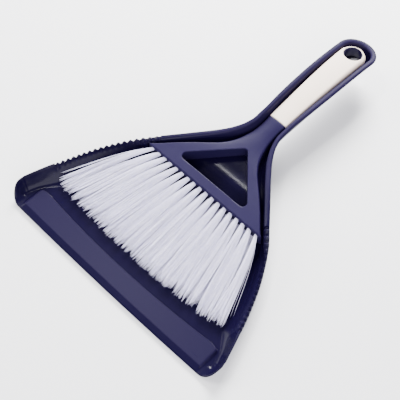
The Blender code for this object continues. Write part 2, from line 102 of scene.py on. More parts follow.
COMB_FROM, COMB_TO = 48.0, 134.0
COMB_TEETH = 18
TOOTH_HEIGHT, TOOTH_FADE, TOOTH_ROUND = 3.6, 6.5, 1.3
PAN_HOLE_R = 5.5
THROUGH_PAN, THROUGH_BRUSH = (10, 30), (10, 50)
PAD_R = 4.0
PADS = [(90, 38), (-90, 38), (38, 133), (-38, 133)]
SHARP_ANGLE = 50

# Brush body
HEAD_FRONT = 120.6
FRONT_ROUND, FRONT_INSET = 1.4, 0.2
NECK_STEP = 0.3
MELT_VOXEL_BLOCK, MELT_VOXEL_GRIP, MELT_PASSES = 0.42, 0.45, 3
HEAD_HALF_WIDTH = [(120.6, 70.0), (129, 61.5), (137, 54.0), (150.5, 40.0), (158, 31.6), (166, 23.4),
                   (174.5, 17.2), (184, 13.2), (197, 10.1), (208, 9.4), (217, 9.9)]
BODY_TOP = [(120.6, 24.0), (175, 28.2), (200, 30.4), (217, 32.6), (235, 35.0), (255, 37.4), (275, 39.2),
            (295, 40.4), (308, 40.5), (320, 39.7), (332, 36.6)]
BODY_UNDER = [(120.6, 9.6), (135, 11.0), (150, 13.2), (165, 15.4), (180, 17.4), (200, 20.2), (217, 22.2),
              (240, 23.8), (275, 24.6), (310, 24.6), (332, 26.0)]
CROWN = [(120.6, .5), (160, .6), (190, .9), (217, .7), (332, .7)]
TOP_ROUND = [(120.6, 1.6), (160, 2.0), (190, 2.4), (217, 2.0), (240, 2.6), (332, 3.2)]
UNDER_ROUND = [(120.6, 1.6), (165, 2.4), (190, 5.0), (217, 7.6), (332, 9.0)]
WINDOW = [(-44.6, 130.4, 4.2), (44.6, 130.4, 4.2), (0, 177.4, 3.4)]

# Grip and hanging hole
GRIP_START = 217.0
GRIP_HALF_WIDTH = [(217, 9.9), (235, 10.4), (260, 11.2), (290, 11.9), (319.7, 12.3)]
GRIP_SKIN = 2.0
GRIP_END_PINCH, GRIP_END_ROUND = 5.0, 5.0
HOLE_Y, HOLE_R = 319.7, 9.2
LINER_WALL = 0.8
LINER_RECESS, LINER_DROP = 0.5, 1.4

# Tufts
PITCH = 7.5
TOP_TUFTS, LOW_TUFTS = 18, 17
HOLE_DEPTH, END_HOLE_DEPTH = 8.0, 5.0
DRILL_R = 2.3
ROOT_TILT = 5.0
ROOT_SPLAY, TIP_SPLAY = 33.0, 20.0
TIP_SPREAD = 1.50
TIP_Y, TIP_BACK = 37.0, 6.0
TOP_ROOT_Z, TOP_TIP_Z = 19.6, 7.9
LOW_ROOT_Z, LOW_TIP_Z = 12.8, 4.0
BEND = 28.0

rng = np.random.default_rng(11)


# ---------------------------------------------------------------- curves and meshes

def curve(table):
    """A smooth curve through (position, value) points, flat beyond its ends, for arrays."""
    p, v = np.array(table, float).T
    width = np.diff(p)
    secant = np.diff(v) / width
    left, right = secant[:-1], secant[1:]
    with np.errstate(divide="ignore", invalid="ignore"):
        inner = np.where(left * right > 0, 2 * left * right / (left + right), 0.0)
    slope = np.concatenate(([secant[0]], inner, [secant[-1]]))

    def read(x):
        x = np.clip(np.asarray(x, float), p[0], p[-1])
        i = np.clip(np.searchsorted(p, x, side="right") - 1, 0, len(width) - 1)
        t = (x - p[i]) / width[i]
        return (v[i] * (1 + 2 * t) * (1 - t) ** 2 + v[i + 1] * t * t * (3 - 2 * t)
                + width[i] * t * (1 - t) * (slope[i] * (1 - t) - slope[i + 1] * t))
    return read


def ramp(v, low, high):
    t = np.clip((v - low) / (high - low), 0.0, 1.0)
    return t * t * (3 - 2 * t)


rim_half_width, rim_height, floor_height = curve(RIM_HALF_WIDTH), curve(RIM_HEIGHT), curve(FLOOR_HEIGHT)
head_half_width, grip_half_width = curve(HEAD_HALF_WIDTH), curve(GRIP_HALF_WIDTH)
rim_depth, rim_satin_and_sheen = curve(RIM_DEPTH), curve(RIM_SATIN_AND_SHEEN)
body_top, body_under, body_crown = curve(BODY_TOP), curve(BODY_UNDER), curve(CROWN)
top_rounding, under_rounding = curve(TOP_ROUND), curve(UNDER_ROUND)


def to_metres(points):
    return (np.asarray(points, float) - (0, MIDDLE_Y, -PAD_HEIGHT)) * MM


def new_object(name, points, faces, look=None):
    """A smooth-shaded mesh object from points in millimetres."""
    mesh = bpy.data.meshes.new(name)
    mesh.from_pydata(to_metres(points).tolist(), [], faces)
    if look:
        mesh.materials.append(look)
    mesh.shade_smooth()
    obj = bpy.data.objects.new(name, mesh)
    bpy.context.scene.collection.objects.link(obj)
    return obj


def loft(rings):
    """Faces of a closed tube of equal rings, with a flat face at each end."""
    count, last = len(rings[0]), len(rings) - 1
    faces = []
    for i in range(last):
        for j in range(count):
            k = (j + 1) % count
            faces.append((i * count + j, i * count + k, (i + 1) * count + k, (i + 1) * count + j))
    faces.append(tuple(reversed(range(count))))
    faces.append(tuple(range(last * count, (last + 1) * count)))
    return np.concatenate(rings), faces


def disc_tube(x, y, low, high, radius, sides=48):
    turn = np.arange(sides) * 2 * pi / sides
    ring = np.column_stack((x + radius * np.cos(turn), y + radius * np.sin(turn), np.zeros(sides)))
    return [ring + (0, 0, low), ring + (0, 0, high)]


def joined(tubes):
    """Several lofts in one mesh."""
    points, faces = [], []
    for rings in tubes:
        more, sides = loft(rings)
        base = sum(len(p) for p in points)
        points.append(more)
        faces += [tuple(base + v for v in face) for face in sides]
    return np.concatenate(points), faces


def carve(obj, tool, operation="DIFFERENCE"):
    cut = obj.modifiers.new(tool.name, "BOOLEAN")
    cut.operation = operation
    cut.solver = "EXACT"
    cut.object = tool


def settle(obj, tools):
    """Bake the modifiers into the mesh and drop the tools that they used."""
    bpy.context.view_layer.update()
    mesh = bpy.data.meshes.new_from_object(obj.evaluated_get(bpy.context.evaluated_depsgraph_get()))
    obj.modifiers.clear()
    obj.data = mesh
    mesh.shade_smooth()
    for tool in tools:
        bpy.data.objects.remove(tool, do_unlink=True)


def melt_edges(obj, voxel):
    """Remesh evenly and smooth, which turns each sharp edge into a small moulded radius."""
    remesh = obj.modifiers.new("even", "REMESH")
    remesh.mode = "VOXEL"
    remesh.voxel_size = voxel * MM
    ease = obj.modifiers.new("ease", "SMOOTH")
    ease.factor = 0.5
    ease.iterations = MELT_PASSES


# ---------------------------------------------------------------- materials

def new_material(name, colour, roughness, **sockets):
    made = bpy.data.materials.new(name)
    made.use_nodes = True
    shader = made.node_tree.nodes["Principled BSDF"]
    shader.inputs["Base Color"].default_value = (*colour, 1)
    shader.inputs["Roughness"].default_value = roughness
    for socket, value in sockets.items():
        shader.inputs[socket.replace("_", " ")].default_value = value
    return made


def noise(tree, scale, detail):
    node = tree.nodes.new("ShaderNodeTexNoise")
    node.inputs["Scale"].default_value = scale
    node.inputs["Detail"].default_value = detail
    place = tree.nodes.new("ShaderNodeTexCoord")
    tree.links.new(place.outputs["Object"], node.inputs["Vector"])
    return node.outputs["Fac"]


def between(tree, factor, low, high):
    """Map a factor of about .3 to .7 onto the range low to high."""
    node = tree.nodes.new("ShaderNodeMapRange")
    node.inputs["From Min"].default_value = 0.3
    node.inputs["From Max"].default_value = 0.7
    node.inputs["To Min"].default_value = low
    node.inputs["To Max"].default_value = high
    tree.links.new(factor, node.inputs["Value"])
    return node.outputs["Result"]


def roughen(made, scale, detail, low, high):
    """Uneven roughness between low and high."""
    tree = made.node_tree
    patches = between(tree, noise(tree, scale, detail), low, high)
    tree.links.new(patches, tree.nodes["Principled BSDF"].inputs["Roughness"])


# Sockets of the Mix node by number: its factor, then first, second and result for each data type.
MIX_FACTOR = 0
MIX_COLOUR = (6, 7, 2)
MIX_FLOAT = (2, 3, 0)


def blend_colours(tree, factor, first, second):
    node = tree.nodes.new("ShaderNodeMix")
    node.data_type = "RGBA"
    a, b, result = MIX_COLOUR
    node.inputs[a].default_value = (*first, 1)
    node.inputs[b].default_value = (*second, 1)
    tree.links.new(factor, node.inputs[MIX_FACTOR])
    return node.outputs[result]


def bump(tree, height, strength, distance):
    node = tree.nodes.new("ShaderNodeBump")
    node.inputs["Strength"].default_value = strength
    node.inputs["Distance"].default_value = distance
    tree.links.new(height, node.inputs["Height"])
    return node.outputs["Normal"]


SKIN_DEPTH = .0002


def moulded_plastic(name, deep, pale, gloss, grain, strength, ior):
    """Moulded plastic: slight flow marks in its colour, uneven gloss and a fine skin."""
    made = new_material(name, deep, gloss[0], IOR=ior)
    tree = made.node_tree
    shader = tree.nodes["Principled BSDF"]
    links = tree.links
    flow = noise(tree, 26, 3)
    links.new(blend_colours(tree, between(tree, flow, 0, 1), deep, pale), shader.inputs["Base Color"])
    links.new(between(tree, noise(tree, 90, 4), *gloss), shader.inputs["Roughness"])
    links.new(bump(tree, noise(tree, grain, 2), strength, SKIN_DEPTH), shader.inputs["Normal"])
    return made


def add_satin_and_sheen(made, colour, roughness):
    """Where the share that the mesh carries says so, blend to a rougher look and a paler colour.  The
    roughness is that of a fine texture; the paler colour is partly that finish and partly painted sheen.

    A share above 1 goes further the same way, as on the handle's rim, where it paints a stronger sheen.
    """
    tree = made.node_tree
    shader = tree.nodes["Principled BSDF"]
    share = tree.nodes.new("ShaderNodeAttribute")
    share.attribute_name = "satin_and_sheen"
    for socket, value in (("Base Color", (*colour, 1)), ("Roughness", roughness)):
        mix = tree.nodes.new("ShaderNodeMix")
        is_colour = socket == "Base Color"
        mix.data_type = "RGBA" if is_colour else "FLOAT"
        mix.clamp_factor = False
        first, second, result = MIX_COLOUR if is_colour else MIX_FLOAT
        tree.links.new(share.outputs["Fac"], mix.inputs[MIX_FACTOR])
        tree.links.new(shader.inputs[socket].links[0].from_socket, mix.inputs[first])
        mix.inputs[second].default_value = value
        tree.links.new(mix.outputs[result], shader.inputs[socket])


def make_materials():
    pan = moulded_plastic("pan_plastic", (.0040, .0023, .0165), (.0046, .0027, .0185),
                          gloss=(.19, .23), grain=2600, strength=.03, ior=1.19)
    # The satin look's paler colour is partly the fine texture's own and partly painted sheen on the panel
    # and the rim's top band.
    add_satin_and_sheen(pan, (.0070, .0043, .0240), .38)
    brush = moulded_plastic("brush_plastic", (.0098, .0066, .0315), (.0106, .0073, .0340),
                            gloss=(.33, .38), grain=3400, strength=.06, ior=1.20)
    grip = moulded_plastic("soft_grip", (.94, .78, .655), (.97, .82, .69),
                           gloss=(.48, .58), grain=2200, strength=.12, ior=1.4)
    nylon = new_material("nylon", (.88, .87, .96), .34, IOR=1.53)
    tree = nylon.node_tree
    streaks = between(tree, noise(tree, 420, 2), 0, 1)
    # The lavender in the nylon's colours is painted shade: it stands in for the bluish shade that the
    # navy plastic around them gives the white filaments. The noise between the two colours is random
    # tone.
    shade = blend_colours(tree, streaks, (.71, .69, .93), (.85, .83, .985))
    tree.links.new(shade, tree.nodes["Principled BSDF"].inputs["Base Color"])
    steel = new_material("steel", (.58, .58, .60), .34, Metallic=1.0)
    roughen(steel, 5200, 3, .26, .44)
    return pan, brush, grip, nylon, steel


# ---------------------------------------------------------------- dust pan

SECTION_STEPS = 30
SECTION_U = (np.arange(SECTION_STEPS + 1) / SECTION_STEPS) ** 1.25
# Columns across the pan lie closest at the walls: shares of the half width, from the wall inwards.
DENSE_SHARE, DENSE_COLUMNS = .13, 16
DENSE = DENSE_SHARE * (np.arange(1, DENSE_COLUMNS + 1) / DENSE_COLUMNS) ** 1.3
COLUMNS = np.concatenate((DENSE, np.linspace(DENSE_SHARE, 1, 17)[1:]))
SPREAD = np.concatenate((1 - COLUMNS, COLUMNS[-2::-1] - 1))
ROW_POINTS = len(SPREAD) + 1
# Stations along the rim lie closest beside the panel's back edge and along the comb.
CORNER_STATIONS, HANDLE_STATIONS = 30, 96
SIDE_START, PANEL_BACK_FROM, PANEL_BACK_TO = 19.4, 30.4, 36.4
SIDE_STEP, PANEL_BACK_STEP, COMB_STEP, END_STEP = .8, .3, .48, 3
COMB_MARGIN = 2


def rim_stations():
    """Points along the right half of the rim: x, y, inward x, inward y."""
    turn = np.radians(np.linspace(-90, CORNER_TURN, CORNER_STATIONS))
    stations = [(CORNER_X + CORNER_R * cos(a), CORNER_Y + CORNER_R * sin(a), -cos(a), -sin(a))
                for a in turn]
    comb_from, comb_to = COMB_FROM - COMB_MARGIN, COMB_TO + COMB_MARGIN
    side = np.concatenate((np.arange(SIDE_START, PANEL_BACK_FROM, SIDE_STEP),
                           np.arange(PANEL_BACK_FROM, PANEL_BACK_TO, PANEL_BACK_STEP),
                           np.arange(PANEL_BACK_TO, comb_from, SIDE_STEP),
                           np.arange(comb_from, comb_to, COMB_STEP),
                           np.linspace(comb_to, HANDLE_END_Y, HANDLE_STATIONS)))
    slope = (rim_half_width(side + .5) - rim_half_width(side - .5))
    size = np.hypot(1, slope)
    stations += list(zip(rim_half_width(side), side, -1 / size, slope / size))
    for a in np.radians(np.arange(END_STEP, 90, END_STEP)):
        stations.append((HANDLE_END_R * cos(a), HANDLE_END_Y + HANDLE_END_R * sin(a), -cos(a), -sin(a)))
    return stations


def profile(wall):
    """A wall's insets and shares of height as smooth curves of 0 to 1."""
    last = len(wall) - 1
    inset = curve([(k / last, point[0]) for k, point in enumerate(wall)])
    share = curve([(k / last, point[1]) for k, point in enumerate(wall)])
    return inset(SECTION_U), share(SECTION_U)


FRONT, COMB, HANDLE = profile(FRONT_WALL), profile(COMB_WALL), profile(HANDLE_WALL)
FAR_FROM_EDGE = 99.0
STEEPEST, EDGE_EASE, EVENING_PASSES = .25, 3, 5


def wall_section(y):
    """Insets and shares of height at one station, blended from the three wall shapes."""
    snug = 1 - NECK_SQUEEZE * (ramp(y, *TO_NECK) - ramp(y, *FROM_NECK))
    comb, handle = ramp(y, *TO_COMB), ramp(y, *TO_HANDLE)
    corner = 1 - CORNER_SQUEEZE * (1 - ramp(y, *FROM_CORNER))
    lip = 1 - ramp(y, CORNER_Y - CORNER_R, 9)
    inset = (FRONT[0] + (COMB[0] - FRONT[0]) * comb) * (1 - handle) + HANDLE[0] * snug * handle
    share = (FRONT[1] + (COMB[1] - FRONT[1]) * comb) * (1 - handle) + HANDLE[1] * handle
    inset = inset + (FRONT_WALL[-1][0] * SECTION_U - inset) * lip
    share = share + (1 - SECTION_U - share) * lip
    return inset * corner, share


def panel(across, y, x_end):
    """Heights of the raised panel along one row, and how far each point takes the satin look of
    its textured face, whose paler colour is partly painted sheen.  The panel's back corners are rounded."""
    beside = (x_end - PANEL_MARGIN - np.abs(across)) / PANEL_END_EASE
    beside = np.clip(beside, -3 * PANEL_CORNER, PANEL_CORNER)
    behind = min(PANEL_END - y, PANEL_CORNER)
    inside = PANEL_CORNER - np.hypot(PANEL_CORNER - beside, PANEL_CORNER - behind)
    # The face rises steeply to half its height, and then slowly to its back edge.
    slow = (y - PANEL_START) / (PANEL_END - PANEL_START)
    slope = PANEL_LIFT * min(.5 * y / PANEL_START, .5 + .5 * slow)
    lift = max(slope, 0) * ramp(inside, -PANEL_STEP, 0)
    # The textured face's share: its roughness is the finish's own, its paler colour partly painted sheen.
    finish_and_sheen = ramp(inside, -PANEL_STEP, -.5 * PANEL_STEP) * ramp(y, FINISH_AND_SHEEN_FROM, FINISH_AND_SHEEN_FULL)
    return lift, finish_and_sheen


def bow(y):
    """How far the middle of a row across the pan lies in front of its ends."""
    return (LIP_BOW + (PANEL_BOW - LIP_BOW) * ramp(y, *TO_PANEL_BOW)
            - PANEL_BOW * ramp(y, *FROM_PANEL_BOW))


def notch(y):
    """How deep the comb's edge lies below the rim's line: rounded teeth with sharper gaps."""
    if not COMB_FROM <= y <= COMB_TO:
        return 0.0
    phase = (y - COMB_FROM) / (COMB_TO - COMB_FROM) * COMB_TEETH
    wave = abs((phase % 1) - .5) * 2
    return TOOTH_HEIGHT * wave ** TOOTH_ROUND


def pan_rows():
    """The pan's upper surface as rows from the right rim to the left: points, edge distances,
    how far each point takes the satin look with its painted sheen, and how much the comb's gaps take off
    its height."""
    rows = []
    for x, y, nx, ny in rim_stations():
        inset, share = wall_section(y)
        x_end, y_end = x + nx * inset[-1], y + ny * inset[-1]
        floor = floor_height(y_end)
        wall = (rim_height(y) - floor) * share
        side = np.column_stack((x + nx * inset, y + ny * inset, floor + wall))
        gap = notch(y) * np.clip(1 - (rim_height(y) - floor - wall) / TOOTH_FADE, 0, 1)
        across = x_end * SPREAD
        along = y_end - bow(y_end) * (1 - SPREAD ** 2)
        lift, satin_and_sheen = panel(across, y_end, min(x_end, CORNER_X))
        middle = np.column_stack((across, along, floor_height(along) + lift))
        # The rim's top band takes the satin look too; its paler colour there is painted sheen.
        rim_finish_and_sheen = rim_satin_and_sheen(y) * (1 - ramp(inset, RIM_BAND, RIM_BAND + RIM_BAND_EASE))
        rows.append((np.vstack((side, middle, side[::-1] * (-1, 1, 1))),
                     np.concatenate((inset, np.full(len(middle), FAR_FROM_EDGE), inset[::-1])),
                     np.concatenate((rim_finish_and_sheen, satin_and_sheen, rim_finish_and_sheen[::-1])),
                     np.concatenate((gap, np.zeros(len(middle)), gap[::-1]))))
    return rows


def pan_upper():
    """Points, distances from the free edge, shares of satin look and painted sheen, comb gaps and faces
    of the upper surface.
    """
    points, edges, satin_and_sheen_shares, gaps = [list(values) for values in zip(*pan_rows())]
    steps = SECTION_STEPS + 1
    rows = len(points)
    width = len(points[0])
    count = width * rows
    faces = []
    for i in range(rows - 1):
        for j in range(width - 1):
            a = i * width + j
            faces.append((a, a + width, a + width + 1, a + 1))

    # The tip closes the last row around the handle's end.
    tip_y = HANDLE_END_Y + HANDLE_END_R
    inset, share = wall_section(tip_y)
    floor = floor_height(tip_y - inset[-1])
    tip_z = floor + (rim_height(tip_y) - floor) * share
    points.append(np.column_stack((np.zeros(steps), tip_y - inset, tip_z)))
    edges.append(inset)
    satin_and_sheen_shares.append(rim_satin_and_sheen(tip_y) * (1 - ramp(inset, RIM_BAND, RIM_BAND + RIM_BAND_EASE)))
    tip, last = count, count - width
    count += steps
    for k in range(steps - 1):
        faces.append((last + k, tip + k, tip + k + 1, last + k + 1))
        faces.append((last + width - 1 - k, last + width - 2 - k, tip + k + 1, tip + k))
    for j in range(steps - 1, width - steps):
        faces.append((last + j, tip + steps - 1, last + j + 1))

    # The lip strip fills the front between the two corners, one row for each section point.
    x, y, _, _ = rim_stations()[0]
    inset, _ = wall_section(y)
    strip = []
    for k in range(steps - 1):
        along = y + inset[k] - bow(y + inset[k]) * (1 - SPREAD ** 2)
        lift, satin_and_sheen = panel(x * SPREAD, y + inset[k], x)
        points.append(np.column_stack((x * SPREAD, along, WALL + lift)))
        edges.append(np.full(ROW_POINTS - 1, inset[k]))
        satin_and_sheen_shares.append(satin_and_sheen)
        strip.append([k] + list(range(count, count + ROW_POINTS - 1)) + [width - 1 - k])
        count += ROW_POINTS - 1
    strip.append(list(range(steps - 1, width - steps + 1)))
    for low, high in zip(strip, strip[1:]):
        for j in range(ROW_POINTS):
            faces.append((low[j], high[j], high[j + 1], low[j + 1]))
    gaps = np.concatenate(gaps)
    gaps = np.concatenate((gaps, np.zeros(count - len(gaps))))
    return np.concatenate(points), np.concatenate(edges), np.concatenate(satin_and_sheen_shares), gaps, faces


def wall_drop(points, faces, edge):
    """How far below each upper point the lower surface lies: the wall's thickness, measured
    square to the surface where it is steep, evened out so that the lower side stays smooth."""
    mesh = bpy.data.meshes.new("probe")
    mesh.from_pydata(points.tolist(), [], faces)
    normals = np.empty(len(points) * 3, np.float32)
    mesh.vertex_normals.foreach_get("vector", normals)
    pairs = np.empty(len(mesh.edges) * 2, np.int32)
    mesh.edges.foreach_get("vertices", pairs)
    bpy.data.meshes.remove(mesh)
    drop = WALL / np.clip(np.abs(normals.reshape(-1, 3)[:, 2]), STEEPEST, 1)
    drop = WALL + (drop - WALL) * ramp(edge, 0, EDGE_EASE)
    a, b = pairs.reshape(-1, 2).T
    for _ in range(EVENING_PASSES):
        total = np.bincount(a, drop[b], len(drop)) + np.bincount(b, drop[a], len(drop))
        share = np.bincount(a, minlength=len(drop)) + np.bincount(b, minlength=len(drop))
        drop = .5 * drop + .5 * total / share
    return np.where(edge <= 0, WALL, drop)


def make_pan(look):
    upper, edge, satin_and_sheen, gap, faces = pan_upper()
    share_finder = KDTree(len(upper))
    for i, place in enumerate(to_metres(upper)):
        share_finder.insert(place, i)
    share_finder.balance()
    depth = rim_depth(upper[:, 1])
    drop = np.maximum(wall_drop(upper, faces, edge), depth * (1 - ramp(edge, *RIM_DEPTH_FADE)))
    # The free edge is rounded: both sides curve into one line there.
    radius = np.minimum(depth, RIM_ROUND) / 2
    reach = np.clip(edge, 0, radius)
    curl = radius - np.sqrt(radius ** 2 - (radius - reach) ** 2)
    lower = upper - np.column_stack((np.zeros_like(drop), np.zeros_like(drop), drop - curl))
    lower[:, 2] = np.maximum(lower[:, 2], 0)
    upper[:, 2] -= curl + gap
    inner = np.flatnonzero(edge > 0)
    under = np.arange(len(upper))
    under[inner] = len(upper) + np.arange(len(inner))
    points = np.concatenate((upper, lower[inner]))
    below = [tuple(int(under[v]) for v in reversed(face)) for face in faces]
    pan = new_object("dust_pan", points, faces + below, look)
    pads = new_object("pads", *joined([disc_tube(x, y, -PAD_HEIGHT, 1.0, PAD_R) for x, y in PADS]))
    hole = new_object("hole", *loft(disc_tube(0, HOLE_Y, *THROUGH_PAN, PAN_HOLE_R)))
    carve(pan, pads, "UNION")
    carve(pan, hole)
    settle(pan, [pads, hole])
    # Each point takes the share of its nearest upper point; the shader paints a paler sheen with it.
    shares = pan.data.attributes.new("satin_and_sheen", "FLOAT", "POINT")
    shares.data.foreach_set("value", [satin_and_sheen[share_finder.find(vertex.co)[1]] for vertex in pan.data.vertices])
    pan.data.set_sharp_from_angle(angle=radians(SHARP_ANGLE))
    return pan


# ---------------------------------------------------------------- brush

ARC_POINTS, FLAT_POINTS = 9, 8
# The most that a section's roundings take of its width and height, and the least they measure
ROUND_OF_WIDTH, ROUND_OF_HEIGHT, UPRIGHT, LEAST_ROUND = .9, .45, .4, .5
HEAD_RINGS = np.concatenate((np.arange(122.6, 206, 2.0), np.arange(207, GRIP_START - GAP, 1.5)))
HANDLE_RINGS, END_RINGS, END_SWEEP = 54, 22, 87
PINCH_TOP, PINCH_UNDER = .6, .4


def body_ring(y, half_width, top, under, crown, top_round, under_round):
    """A rounded section across the brush, listed once around."""
    height = top - crown - under
    top_round = min(top_round, half_width * ROUND_OF_WIDTH, height * ROUND_OF_HEIGHT)
    under_round = min(under_round, half_width * ROUND_OF_WIDTH, height - top_round - UPRIGHT)
    arc = np.radians(np.linspace(0, 90, ARC_POINTS))
    flat = np.linspace(0, 1, FLAT_POINTS, endpoint=False)
    shoulder, foot = half_width - top_round, half_width - under_round
    x = np.concatenate((flat * shoulder, shoulder + top_round * np.sin(arc),
                        foot + under_round * np.cos(arc), foot * (1 - flat[1:]), [0]))
    z = np.concatenate((top - crown * flat ** 2, top - crown - top_round * (1 - np.cos(arc)),
                        under + under_round * (1 - np.sin(arc)), np.full(FLAT_POINTS, under)))
    x, z = np.concatenate((x, -x[-2:0:-1])), np.concatenate((z, z[-2:0:-1]))
    return np.column_stack((x, np.full(len(x), y), z))


def body_at(y, half_width, shrink=0.0):
    return body_ring(y, half_width - shrink, body_top(y) - shrink, body_under(y) + shrink, body_crown(y),
                     max(top_rounding(y) - shrink, LEAST_ROUND),
                     max(under_rounding(y) - shrink, LEAST_ROUND))


def handle_rings(start, shrink):
    """Rings of the handle from start to its round end, made smaller all round by shrink."""
    stations = np.linspace(start, HOLE_Y, HANDLE_RINGS)
    rings = [body_at(y, grip_half_width(y), shrink) for y in stations]
    end_r = GRIP_HALF_WIDTH[-1][1] - shrink
    for angle in np.radians(np.linspace(0, END_SWEEP, END_RINGS)[1:]):
        y = HOLE_Y + end_r * sin(angle)
        pinch = GRIP_END_PINCH * (1 - cos(angle)) ** 1.5
        rings.append(body_ring(y, end_r * cos(angle), body_top(y) - shrink - pinch * PINCH_TOP,
                               body_under(y) + shrink + pinch * PINCH_UNDER, body_crown(y) * cos(angle),
                               GRIP_END_ROUND - shrink, GRIP_END_ROUND - shrink))
    return rings


def window_outline(steps=10):
    """A triangle with rounded corners."""
    outline = []
    for i, (x, y, radius) in enumerate(WINDOW):
        here = Vector((x, y))
        back = (Vector(WINDOW[i - 1][:2]) - here).normalized()
        ahead = (Vector(WINDOW[(i + 1) % 3][:2]) - here).normalized()
        half = back.angle(ahead) / 2
        centre = here + (back + ahead).normalized() * radius / sin(half)
        start = here + back * radius / (sin(half) / cos(half)) - centre
        for k in range(steps + 1):
            outline.append(centre + Matrix.Rotation((pi - 2 * half) * k / steps, 2) @ start)
    return np.array([(p.x, p.y, 0) for p in outline])


def tuft_line(x, root_z, tip_z, t, spread=TIP_SPREAD):
    """Points along tufts rooted at x, for arrays, and the way they leave the head."""
    x, t = np.broadcast_arrays(np.asarray(x, float), np.asarray(t, float))
    side = x / (PITCH * (TOP_TUFTS - 1) / 2)
    out, tilt = np.radians(np.where(side > 0, .85, 1) * ROOT_SPLAY * side), radians(ROOT_TILT)
    arrive = np.radians(TIP_SPLAY * side)
    root = np.stack((x, np.full_like(x, HEAD_FRONT), np.full_like(x, root_z)), -1)
    tip = np.stack((x * spread, TIP_Y + TIP_BACK * side ** 2, np.full_like(x, tip_z)), -1)
    leave = np.stack((np.sin(out) * cos(tilt), -np.cos(out) * cos(tilt), np.full_like(x, -sin(tilt))), -1)
    land = np.stack((np.sin(arrive), -np.cos(arrive), np.full_like(x, -.10)), -1)
    a, b = root + leave * BEND, tip - land * BEND
    t, s = t[..., None], 1 - t[..., None]
    return s ** 3 * root + 3 * s * s * t * a + 3 * s * t * t * b + t ** 3 * tip, leave


def hole_depth(x):
    return END_HOLE_DEPTH if abs(x) > PITCH * (TOP_TUFTS - 2) / 2 else HOLE_DEPTH


def tuft_rows():
    """Every tuft: (row, number, x of its root, root height, tip height)."""
    rows = (("top", TOP_TUFTS, TOP_ROOT_Z, TOP_TIP_Z), ("low", LOW_TUFTS, LOW_ROOT_Z, LOW_TIP_Z))
    return [(row, i + 1, (i - (count - 1) / 2) * PITCH, root_z, tip_z)
            for row, count, root_z, tip_z in rows for i in range(count)]


def ring_about(centre, along, radius, sides=24):
    across = np.cross(along, (0, 0, 1))
    across /= np.linalg.norm(across)
    up = np.cross(across, along)
    turn = (np.arange(sides) * 2 * pi / sides)[:, None]
    return centre + radius * (across * np.cos(turn) + up * np.sin(turn))


def drilled_holes():
    tubes = []
    for _, _, x, root_z, tip_z in tuft_rows():
        root, leave = tuft_line(x, root_z, tip_z, 0.0)
        tubes.append([ring_about(root - leave * hole_depth(x), leave, DRILL_R),
                      ring_about(root + leave * 4, leave, DRILL_R)])
    return joined(tubes)


def make_brush_block(look):
    front_half = head_half_width(HEAD_FRONT) - FRONT_INSET
    rings = [body_at(HEAD_FRONT + FRONT_ROUND * (1 - sin(a)), front_half, FRONT_ROUND * (1 - cos(a)))
             for a in np.radians((90, 70, 50, 30, 12))]
    rings += [body_at(y, head_half_width(y)) for y in HEAD_RINGS]
    # A shallow step lets the grip stand a little proud of the neck.
    rings.append(body_at(GRIP_START - GAP, head_half_width(GRIP_START), NECK_STEP))
    rings += handle_rings(GRIP_START - GAP, GRIP_SKIN + GAP)
    block = new_object("brush_block", *loft(rings), look)
    outline = window_outline()
    window = new_object("window", *loft([outline, outline + (0, 0, THROUGH_BRUSH[1])]))
    drills = new_object("drills", *drilled_holes())
    top, under, liner_r = body_top(HOLE_Y), body_under(HOLE_Y), HOLE_R - GAP
    liner = new_object("liner", *loft(disc_tube(0, HOLE_Y, under + LINER_RECESS,
                                                top - LINER_RECESS - LINER_DROP, liner_r)))
    eye = new_object("eye", *loft(disc_tube(0, HOLE_Y, *THROUGH_BRUSH, liner_r - LINER_WALL)))
    carve(block, window)
    carve(block, drills)
    carve(block, liner, "UNION")
    carve(block, eye)
    melt_edges(block, MELT_VOXEL_BLOCK)
    settle(block, [window, drills, liner, eye])
    return block


def make_grip(look):
    grip = new_object("grip_skin", *loft(handle_rings(GRIP_START, 0.0)), look)
    cavity = new_object("cavity", *loft(handle_rings(GRIP_START - 2, GRIP_SKIN)))
    eye = new_object("eye", *loft(disc_tube(0, HOLE_Y, *THROUGH_BRUSH, HOLE_R)))
    carve(grip, cavity)
    carve(grip, eye)
    melt_edges(grip, MELT_VOXEL_GRIP)
    settle(grip, [cavity, eye])
    return grip


# ---------------------------------------------------------------- filaments

FILAMENTS = {"top": 170, "low": 90}
FILAMENT_R, FILAMENT_CLEARANCE = 0.15, 0.15
ROOT_R, ROOT_DEPTH = 1.85, 60
BUNCHES = 20
GOLDEN_ANGLE = 2.39996
REACH = {"top": 1.06, "low": 1.0}
TIP_HALF_HEIGHT = {"top": 1.9, "low": 1.2}
TIP_HALF_WIDTH = 0.72
BUNCH_UNEVEN, FILAMENT_UNEVEN, OUTER_SHORT = 0.030, 0.018, 0.06
LEFT_SPREAD, RIGHT_SQUEEZE, END_TUFT_SQUEEZE = 1.03, 0.025, 0.35
OPENING, GATHER, GATHER_AT_TIP, TIP_POWER = 0.8, 0.35, 0.6, 9
WANDER, BUNCH_LIFT, FILAMENT_LIFT = 0.7, 0.55, 0.3
TIP_TAPER = (.8, .3)
STATIONS = np.array([-.075, .0, .05, .12, .22, .36, .52, .70, .84, .93, 1.0])

# Filaments that left the end tufts: how far out they start, in degrees, and their tips
STRAYS = {("top", 1): [(41, -107, 46.5, 13.6), (42, -106.2, 47.6, 12.9), (38, -99.4, 61.5, 14.2)],
          ("top", 18): [(35, 96.4, 52.0, 5.0), (37, 98.6, 54.2, 5.4), (39, 100.2, 56.5, 6.2)]}


